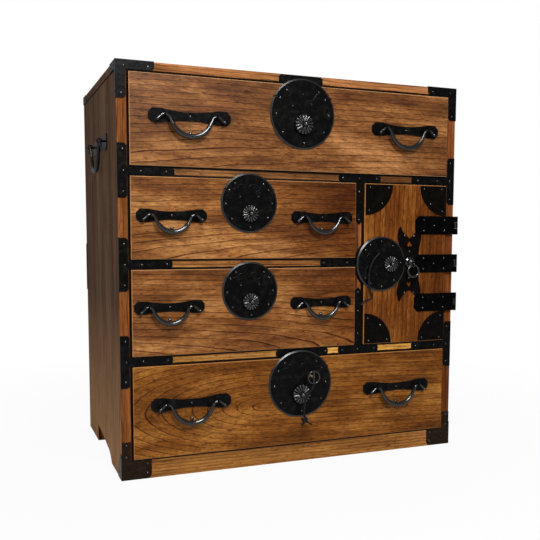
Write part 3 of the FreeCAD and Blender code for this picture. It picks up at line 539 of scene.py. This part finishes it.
# black irons, nearly matt; the tones go from dark over plain to worn
blackLook = {
    "tones": ("#020202", "#060606", "#1a1816"), "mottle": 12, "grit": 0.6, "hammer": 7, "dent": 0.3,
    "rough": 0.25, "shine": 0.07,
}
rimTone = "#0c0c0c"
blackIron = blackedIron("blacked_wrought_iron", blackLook)
lockIron = blackedIron("rim_rubbed_iron", {**blackLook, "rim": rimTone})
# the cover edge and the lock's small rings are toned darker than the plate: painted shade along the cover's raised
# edge
coverEdgeShadeIron = blackedIron("shade_darkened_cover_edge", {
    **blackLook, "tones": ("#020202", "#040404", "#080808"), "shine": 0.15,
})
brownIron = blackedIron("browned_wrought_iron", {
    **blackLook, "tones": ("#030201", "#080604", "#100b07"), "mottle": 14, "shine": 0.05,
})
# a darker copy of the black iron, painted shade: for the hinge straps on the dim right of the chest and for the
# side handle's mounts
shadedStrapLook = {**blackLook, "tones": ("#000000", "#020202", "#0a0908"), "shine": 0.04}
shadedLeafIron = blackedIron("shade_darkened_leaf_iron", shadedStrapLook)
shadedStrapIron = blackedIron("rim_rubbed_shade_darkened_strap_iron", {**shadedStrapLook, "rim": rimTone})
bootIron = blackedIron("scuffed_boot_iron", {
    **blackLook, "tones": ("#150e08", "#1f150d", "#2c1f14"),
})
# irons polished by hands, smooth and glinting
wornLook = {
    "tones": ("#040404", "#080809", "#101011"), "mottle": 12, "grit": 0.2, "hammer": 14, "dent": 0.02,
    "rough": 0.15, "shine": 0.7,
}
wornIron = blackedIron("hand_worn_iron", wornLook)
carryIron = blackedIron("carrying_bail_iron", {**wornLook, "rough": 0.28, "shine": 0.35})
keyIron = blackedIron("key_iron_and_brass", {**wornLook, "stem": "#a58860", "stemEnd": -28.5})
chasedIron = blackedIron("chased_iron", {
    **wornLook, "tones": ("#020202", "#050505", "#0a0a0b"), "mottle": 8, "hammer": 5,
    "rough": 0.14, "shine": 1.0,
})
nailIron = blackedIron("nail_iron", {
    **wornLook, "tones": ("#121213", "#1c1c1d", "#2c2c2e"), "mottle": 5, "hammer": 3,
    "rough": 0.12, "shine": 1.0,
})
# waxed leather takes the same nodes: nearly black, dull, with a fine grain
thong = blackedIron("waxed_thong", {
    "tones": ("#090a0d", "#121419", "#20242a"), "mottle": 3, "grit": 1, "hammer": 2, "dent": 0.5,
    "rough": 0.5, "shine": 0.14,
})

slotFinish = {
    "drawer_box_wood": boxWood, "black_iron": blackIron, "worn_iron": wornIron,
    "chased_iron": chasedIron, "thong": thong,
}
ownFinish = {
    "key": keyIron, "base_boots": bootIron, "door_corner_plates": brownIron,
    "door_fret_plate": brownIron, "hinge_door_leaves": shadedStrapIron, "hinge_frame_leaves": shadedLeafIron,
    "side_handle_mounts": shadedLeafIron, "left_side_bail": carryIron, "right_side_bail": carryIron,
}
for part in frame["record"]["subparts"]:
    node = part["node"]
    finish = slotFinish.get(part["material_slot"])
    if node.endswith("lock_plate"):
        finish = lockIron
    if finish:
        dress(nodes[node], ownFinish.get(node, finish))
print("materials on the frame")


# round runs along a route, for the cords and the raised lines on the locks
def roundCurve(name, radius, sides, steps):
    curve = bpy.data.curves.new(name, "CURVE")
    curve.dimensions = "3D"
    curve.bevel_depth = radius
    curve.bevel_resolution = sides
    curve.resolution_u = steps
    curve.use_fill_caps = True
    return curve


def layRun(curve, places):
    run = curve.splines.new("NURBS")
    run.points.add(len(places) - 1)
    for point, place in zip(run.points, places):
        point.co = (*place, 1)
    run.order_u = 3
    run.use_endpoint_u = True
    return run


def meshOf(name, curve):
    pick(newObject(name, curve))
    bpy.ops.object.convert(target="MESH")
    return bpy.context.object


# cords, each a limp thong along its route
cords = {
    "key_cord": {
        "body": "bottom_drawer", "thick": 4, "length": 70.7,
        "route": [
            (371, -30.3, 160), (369, -29.6, 151.5), (360.5, -27.8, 141.5), (354.8, -26, 129),
            (352.6, -24.8, 115), (353.4, -24, 102), (354.4, -23.6, 94),
        ],
    },
    "door_cord": {
        "body": "door", "thick": 3.4, "length": 129.7,
        "route": [
            (523, -14.5, 418), (513.5, -14.2, 410.5), (505.5, -14, 399), (500.5, -13.6, 385),
            (498.5, -13.2, 370), (498.8, -13, 355.5), (501.8, -12.6, 342.5), (506.5, -12, 333),
            (506.8, -11.6, 326.5), (501.5, -11.4, 322.8), (493.5, -11.2, 322), (486.5, -11, 318),
            (482.5, -11, 312),
        ],
    },
}
# the knot is one loose overhand turn with two tails, just below the cord's end
knotLook = {
    "turn": 1.7, "thick": 2.1, "drop": 5, "points": 28, "tails": ((-5, 1, -12), (16, 1, -11)),
    "tailSag": 3, "tailTaper": 0.3,
}


def knotPiece(middle):
    look = knotLook
    curve = roundCurve("key_cord_tied_knot", look["thick"] * mm, sides=3, steps=12)
    loop = curve.splines.new("NURBS")
    loop.points.add(look["points"] - 1)
    for index, point in enumerate(loop.points):  # an overhand turn, closed on itself
        t = 2 * math.pi * index / look["points"]
        x = math.sin(t) + 2 * math.sin(2 * t)
        y = -1.5 * math.sin(3 * t)
        z = math.cos(t) - 2 * math.cos(2 * t)
        point.co = (*(middle + Vector((x, y, z)) * look["turn"] * mm), 1)
    loop.use_cyclic_u = True
    shares = [index / 3 for index in range(4)]
    for end in look["tails"]:
        sags = [Vector((0, 0, -look["tailSag"] * share * (1 - share))) for share in shares]
        tail = layRun(curve, [middle + (Vector(end) * s + sag) * mm for s, sag in zip(shares, sags)])
        for point, share in zip(tail.points, shares):
            point.radius = 1 - look["tailTaper"] * share
    knot = meshOf("key_cord_tied_knot", curve)
    dress(knot, thong)
    return knot


for name, look in cords.items():
    curve = roundCurve(name + "_thong", look["thick"] / 2 * mm, sides=4, steps=8)
    layRun(curve, [bench(*point) for point in look["route"]])
    cord = newObject(name + "_thong", curve)
    dress(cord, thong)
    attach(cord, look["body"])
    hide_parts(name)
keyCord, doorCord = cords["key_cord"], cords["door_cord"]
knot = knotPiece(bench(*keyCord["route"][-1]) - Vector((0, 0, knotLook["drop"] * mm)))
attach(knot, keyCord["body"])
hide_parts("key_cord_knot")
print("cords laid")

# the bows of the drawer bails and of the door's ring swell below the eyes
bailLook = {"swell": 1.0, "from": 5, "full": 17}
ringLook = {"swell": 0.8, "from": 4, "full": 10}
# the flower bosses stand out in a steeper dome
bossLook = {"rise": 1.6}
mergeGap = 0.01 * mm
forgedAngle = math.radians(40)  # sharper edges than this stay crisp
bailPlaces = {
    joint["child"]: Vector(joint["pos_m"]) for joint in frame["joints"] if "_swing" in joint["name"]
}


def nodeCopy(node, name):
    piece = newObject(name, nodes[node].data.copy())
    pick(piece)
    bpy.ops.object.mode_set(mode="EDIT")
    bpy.ops.mesh.select_all(action="SELECT")
    bpy.ops.mesh.remove_doubles(threshold=mergeGap)
    bpy.ops.object.mode_set(mode="OBJECT")
    return piece


def swellBow(node, look):
    bail = nodeCopy(node, node + "_forged")
    bow = bail.vertex_groups.new(name="bow")
    for vertex in bail.data.vertices:
        depth = (bailPlaces[node].z - vertex.co.z) / mm
        share = (depth - look["from"]) / (look["full"] - look["from"])
        bow.add([vertex.index], min(max(share, 0), 1), "REPLACE")
    swell = bail.modifiers.new("swell", "DISPLACE")
    swell.strength = look["swell"] * mm
    swell.mid_level = 0
    swell.vertex_group = bow.name
    bpy.ops.object.modifier_apply(modifier=swell.name)
    bpy.ops.object.shade_smooth_by_angle(angle=forgedAngle)
    dress(bail, wornIron)
    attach(bail, node)
    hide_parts(node)


def raiseBoss(body):
    node = body + "_lock_rosette"
    boss = nodeCopy(node, node + "_domed")
    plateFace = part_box(body + "_lock_plate")[0].y
    bpy.ops.object.mode_set(mode="EDIT")
    bpy.ops.mesh.select_all(action="SELECT")
    bpy.ops.transform.resize(value=(1, bossLook["rise"], 1), center_override=(0, plateFace, 0))
    bpy.ops.object.mode_set(mode="OBJECT")
    bpy.ops.object.shade_smooth_by_angle(angle=forgedAngle)
    dress(boss, chasedIron)
    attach(boss, body)
    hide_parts(node)


for node in bailPlaces:
    if "drawer" in node:
        swellBow(node, bailLook)
swellBow("door_ring", ringLook)
print("bails forged")
lockOrder = ("top_drawer", "upper_drawer", "lower_drawer", "bottom_drawer", "door")
for body in lockOrder:
    raiseBoss(body)
print("bosses raised")

# places of the lock plates; the door's is turned on its side
locks = {}
for body in lockOrder:
    lowCorner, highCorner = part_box(body + "_lock_plate")
    centre = ((lowCorner + highCorner) / 2 - benchCorner) / mm
    locks[body] = {
        "x": centre.x, "z": centre.z, "radius": (highCorner.x - lowCorner.x) / 2 / mm,
        "face": frontOf(body + "_lock_plate"), "turn": 90 if body == "door" else 0,
    }

# lock furniture, placed in shares of the plate's radius and sized in mm:
# a raised cloud line, a leaf over the keyhole, the keyhole's guard and a ring rivet
furnitureLook = {
    "cloud": (
        (-0.9, 0.46), (-0.76, 0.49), (-0.62, 0.45), (-0.5, 0.49), (-0.42, 0.48), (-0.4, 0.58),
        (-0.26, 0.63), (-0.1, 0.6), (-0.05, 0.46), (0.0, 0.58), (0.12, 0.63), (0.28, 0.62),
        (0.36, 0.5), (0.46, 0.46), (0.6, 0.5), (0.74, 0.47), (0.9, 0.49),
    ),
    "leaf": ((0.43, 0.6), (0.37, 0.5), (0.33, 0.42), (0.25, 0.4), (0.22, 0.3), (0.27, 0.2)),
    "keyhole": (0.29, 0.27), "rivet": (-0.354, 0.24),
    "bead": 0.9, "guard": 4.2, "ring": 3.4, "wall": 1.3, "rise": 1.0, "sunk": 0.8, "ease": 0.35,
}
faceOn = (math.radians(90), 0, 0)


def beadLine(name, points, radius):
    curve = roundCurve(name, furnitureLook["bead"] * mm, sides=2, steps=5)
    layRun(curve, [(x * radius, 0, z * radius) for x, z in points])
    return meshOf(name, curve)


def sunkRing(size, x, z):
    look = furnitureLook
    deselectAll()
    bpy.ops.mesh.primitive_cylinder_add(vertices=40, radius=size * mm, depth=2 * look["rise"] * mm,
                                        location=(x, 0, z), rotation=faceOn)
    settle()
    ring = bpy.context.object
    for face in ring.data.polygons:
        face.select = face.normal.y < -0.9  # the end towards the front
    bpy.ops.object.mode_set(mode="EDIT")
    bpy.ops.mesh.select_mode(type="FACE")
    bpy.ops.mesh.inset(thickness=look["wall"] * mm)
    bpy.ops.transform.translate(value=(0, look["rise"] * look["sunk"] * mm, 0))
    bpy.ops.object.mode_set(mode="OBJECT")
    ease = ring.modifiers.new("ease", "BEVEL")
    ease.width = look["ease"] * mm
    ease.segments = 2
    bpy.ops.object.modifier_apply(modifier=ease.name)
    bpy.ops.object.shade_smooth_by_angle(angle=math.radians(35))
    return ring


def lockFurniture(body, lock):
    look = furnitureLook
    radius = lock["radius"] * mm
    pieces = [beadLine(body + "_lock_furniture", look["cloud"], radius)]
    if body != "bottom_drawer":  # the key stands in the keyhole of the bottom drawer
        pieces.append(beadLine(body + "_leaf", look["leaf"], radius))
        pieces.append(sunkRing(look["guard"], look["keyhole"][0] * radius, look["keyhole"][1] * radius))
    pieces.append(sunkRing(look["ring"], look["rivet"][0] * radius, look["rivet"][1] * radius))
    whole = joinAll(pieces)
    whole.location = bench(lock["x"], lock["face"], lock["z"])
    whole.rotation_euler = (0, -math.radians(lock["turn"]), 0)
    settle()
    dress(whole, coverEdgeShadeIron)
    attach(whole, body)


for body, lock in locks.items():
    lockFurniture(body, lock)
print("lock furniture set")

# nails: two sizes of domed head, copied to every iron with small differences
nailLook = {
    "radius": 1.9, "rise": 1.1, "stopRadius": 3.9, "stopRise": 3.3,
    "tilt": 0.08, "spin": 1, "least": 0.88, "most": 1.1, "seed": 5,
}
rng = random.Random(nailLook["seed"])


def nailHead(radius, rise):
    deselectAll()
    bpy.ops.mesh.primitive_uv_sphere_add(segments=16, ring_count=10, radius=radius * mm)
    head = bpy.context.object
    bpy.ops.object.mode_set(mode="EDIT")
    bpy.ops.mesh.select_all(action="SELECT")
    bpy.ops.mesh.bisect(plane_co=(0, 0, 0), plane_no=(0, 1, 0), clear_outer=True, use_fill=True)
    bpy.ops.mesh.select_all(action="SELECT")
    bpy.ops.transform.resize(value=(1, rise / radius, 1), center_override=(0, 0, 0))
    bpy.ops.object.mode_set(mode="OBJECT")
    bpy.ops.object.shade_smooth_by_angle(angle=math.radians(50))
    dress(head, nailIron)
    return head


smallNail = nailHead(nailLook["radius"], nailLook["rise"])
stopNail = nailHead(nailLook["stopRadius"], nailLook["stopRise"])


def nails(name, body, spots, model, turn=0):
    look = nailLook
    heads = []
    for spot in spots:
        head = newObject(name, model.data.copy())
        tilt = rng.uniform(-look["tilt"], look["tilt"])
        spin = rng.uniform(-look["spin"], look["spin"])
        head.location = bench(*spot)
        head.rotation_euler = (tilt, spin, turn)
        head.scale = [rng.uniform(look["least"], look["most"])] * 3
        heads.append(head)
    joined = joinAll(heads)
    joined.name = name
    settle()
    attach(joined, body)


def otherSide(spots):
    return [(chestWidth - x, y, z) for x, y, z in spots]


# places on the case's irons: x and z at the front, y and z on the flanks
frameNails = {
    "corner": [(14, 751), (57, 751), (9, 703)],
    "boot": [(47, 29), (47.5, 11), (8.5, 66), (8.5, 44)],
    "rails": {"upper": 567.5, "middle": 399, "lower": 221},
    "stile": [(10, -37), (10, 38), (11, 0), (42, 0), (88, 0)],  # z from the middle of each rail
    "post": 481,
    "postRails": {"upper": (444, 520), "lower": (408, 446, 519), "middle": (404, 456)},
    "postLegs": {"upper": (541, 485), "lower": (338, 300, 253), "middle": ()},
    "flank": [
        (14, 752), (48, 752), (5, 705), (5, 725), (412, 752), (432, 752), (432, 420), (432, 378),
        (432, 335), (20, 12), (9, 42),
    ],
}
ironFace = frontOf("rail_irons")
flankFace = (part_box("corner_irons")[0].x - benchCorner.x) / mm


def frameFront():
    look = frameNails
    leftSpots = [(x, ironFace, z) for x, z in look["corner"] + look["boot"]]
    spots = leftSpots + otherSide(leftSpots)
    for rail, middle in look["rails"].items():
        leftSpots = [(x, ironFace, middle + z) for x, z in look["stile"]]
        spots += leftSpots
        if rail != "middle":  # at that height the right stile carries the door's hinges
            spots += otherSide(leftSpots)
    for rail, ends in look["postRails"].items():
        middle = look["rails"][rail]
        legs = look["postLegs"][rail]
        spots += [(x, ironFace, middle) for x in ends]
        spots += [(look["post"], ironFace, leg) for leg in legs]
        if legs:
            spots.append((look["post"], ironFace, middle))
    return spots


nails("frame_front_nails", "frame", frameFront(), smallNail)
leftFlank = [(flankFace, y, z) for y, z in frameNails["flank"]]
nails("frame_left_nails", "frame", leftFlank, smallNail, math.radians(-90))
nails("frame_right_nails", "frame", otherSide(leftFlank), smallNail, math.radians(90))

# places on the fronts: a ring of nails in each lock plate, then those of the door and of the handles
lockNails = {"ring": 0.82, "angles": (182, 149, 128, 52, 33, 0, -36, -87, -139)}
doorNails = {
    "corner": ((10, 6), (53, 6.5), (37, 37), (8, 52)),
    "fret": [(585, 453), (607, 453), (596, 421), (585, 335), (607, 335), (596, 366)],
    "hinges": (475, 395, 313), "leafFace": -7.5,
    "leaf": [(630, -11), (630, 11), (655, 0), (680, -11), (680, 11)],  # z from each hinge's middle
}
handleNails = {"plateFace": -8, "below": 1, "boardFace": -6, "stopLift": 9.5}


def lockSpots(lock):
    spots = []
    for angle in lockNails["angles"]:
        around = math.radians(angle + lock["turn"])
        reach = lockNails["ring"] * lock["radius"]
        x = lock["x"] + reach * math.cos(around)
        z = lock["z"] + reach * math.sin(around)
        spots.append((x, lock["face"], z))
    return spots


def doorSpots():
    look = doorNails
    cornerLow, cornerHigh = [(corner - benchCorner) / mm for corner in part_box("door_corner_plates")]
    spots = []
    for x, z in look["corner"]:
        spots += [(px, cornerLow.y, pz) for px in (cornerLow.x + x, cornerHigh.x - x)
                  for pz in (cornerLow.z + z, cornerHigh.z - z)]
    spots += [(x, frontOf("door_fret_plate"), z) for x, z in look["fret"]]
    for hinge in look["hinges"]:
        spots += [(x, look["leafFace"], hinge + z) for x, z in look["leaf"]]
    return spots


for body, lock in locks.items():
    spots = lockSpots(lock)
    stopSpots = []
    if body == "door":
        spots += doorSpots()
    else:
        for side in ("left", "right"):
            bail = f"{body}_{side}_bail"
            eyes = (bailPlaces[bail] - benchCorner) / mm
            bowLow = (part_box(bail)[0].z - benchCorner.z) / mm
            spots.append((eyes.x, handleNails["plateFace"], eyes.z - handleNails["below"]))
            stopSpots.append((eyes.x, handleNails["boardFace"], bowLow + handleNails["stopLift"]))
    nails(body + "_nails", body, spots, smallNail)
    if stopSpots:
        nails(body + "_stop_nails", body, stopSpots, stopNail)
bpy.data.objects.remove(smallNail)
bpy.data.objects.remove(stopNail)
print("nails driven")

# stage: pale floor, soft lamps, white round about; sizes in metres
stageLook = {
    "floor": 14, "floorTone": "#c8c8c8", "floorRough": 0.8, "sky": 0.22, "mirror": 0.1,
    "near": 0.94, "shadowFrom": 0.5, "shadowTo": 1.3,
}
white = (1, 1, 1, 1)
deselectAll()
bpy.ops.mesh.primitive_plane_add(size=stageLook["floor"], location=(0, 0, boardLow.z))
floor = bpy.context.object
floor.name = "floor"
world = bpy.data.worlds.new("studio")
bpy.context.scene.world = world
world.use_nodes = True


# what the camera, metal and glass see of the white surroundings
def seenShare(tree):
    path = add(tree, "ShaderNodeLightPath")
    mirrored = add(tree, "ShaderNodeMath", {
        0: path.outputs["Is Glossy Ray"], 1: stageLook["mirror"],
    }, operation="MULTIPLY")
    straightOn = add(tree, "ShaderNodeMath", {
        0: path.outputs["Is Camera Ray"], 1: path.outputs["Is Transmission Ray"],
    }, operation="MAXIMUM")
    seen = add(tree, "ShaderNodeMath", {
        0: straightOn.outputs[0], 1: mirrored.outputs[0],
    }, operation="MAXIMUM")
    return seen.outputs[0]


# matt paint that keeps the shadow near the chest and goes over into white farther out
paint, paintTree, paintSurface = newMaterial("pale_floor_paint")
paintSurface.inputs["Base Color"].default_value = linear(stageLook["floorTone"])
paintSurface.inputs["Roughness"].default_value = stageLook["floorRough"]
glow = add(paintTree, "ShaderNodeEmission", {"Color": white, "Strength": 1.0})
spread = add(paintTree, "ShaderNodeTexCoord")
reach = add(paintTree, "ShaderNodeVectorMath", {0: spread.outputs["Object"]}, operation="LENGTH")
whiteness = add(paintTree, "ShaderNodeMapRange", {
    "Value": reach.outputs["Value"], "From Min": stageLook["shadowFrom"],
    "From Max": stageLook["shadowTo"], "To Min": stageLook["near"],
})
share = add(paintTree, "ShaderNodeMath", {
    0: seenShare(paintTree), 1: whiteness.outputs[0],
}, operation="MULTIPLY")
floorMix = add(paintTree, "ShaderNodeMixShader", {
    0: share.outputs[0], 1: paintSurface.outputs[0], 2: glow.outputs[0],
})
paintTree.links.new(floorMix.outputs[0], paintTree.nodes["Material Output"].inputs["Surface"])
dress(floor, paint)

sky = world.node_tree
background = sky.nodes["Background"]
background.inputs["Color"].default_value = white
skyStrength = add(sky, "ShaderNodeMapRange", {
    "Value": seenShare(sky), "To Min": stageLook["sky"],
})
sky.links.new(skyStrength.outputs[0], background.inputs["Strength"])

# lamps: metres and watts
lamps = {
    "key_softbox": {
        "place": (-0.2, -1.95, 1.6), "aim": (-0.15, -0.2, 0.5), "size": (0.6, 0.45), "power": 41,
    },
    "top_strip": {
        "place": (-0.55, -1.25, 2.45), "aim": (0, -0.2, 0.4), "size": (1.2, 0.28), "power": 22,
    },
    "rear_softbox": {
        "place": (1.7, 1.7, 1.4), "aim": (0, 0, 0.4), "size": (1.4, 1.2), "power": 14,
    },
    "fill_softbox": {
        "place": (-1.9, -1.5, 0.8), "aim": (0, 0, 0.35), "size": (1.6, 1.4), "power": 5,
    },
}
for name, look in lamps.items():
    lampData = bpy.data.lights.new(name, "AREA")
    lampData.shape = "RECTANGLE"
    lampData.size, lampData.size_y = look["size"]
    lampData.energy = look["power"]
    lamp = newObject(name, lampData)
    lamp.location = look["place"]
    ray = Vector(look["aim"]) - Vector(look["place"])
    lamp.rotation_euler = ray.to_track_quat("-Z", "Y").to_euler()
bpy.context.scene.view_settings.view_transform = "Standard"
print("stage set")
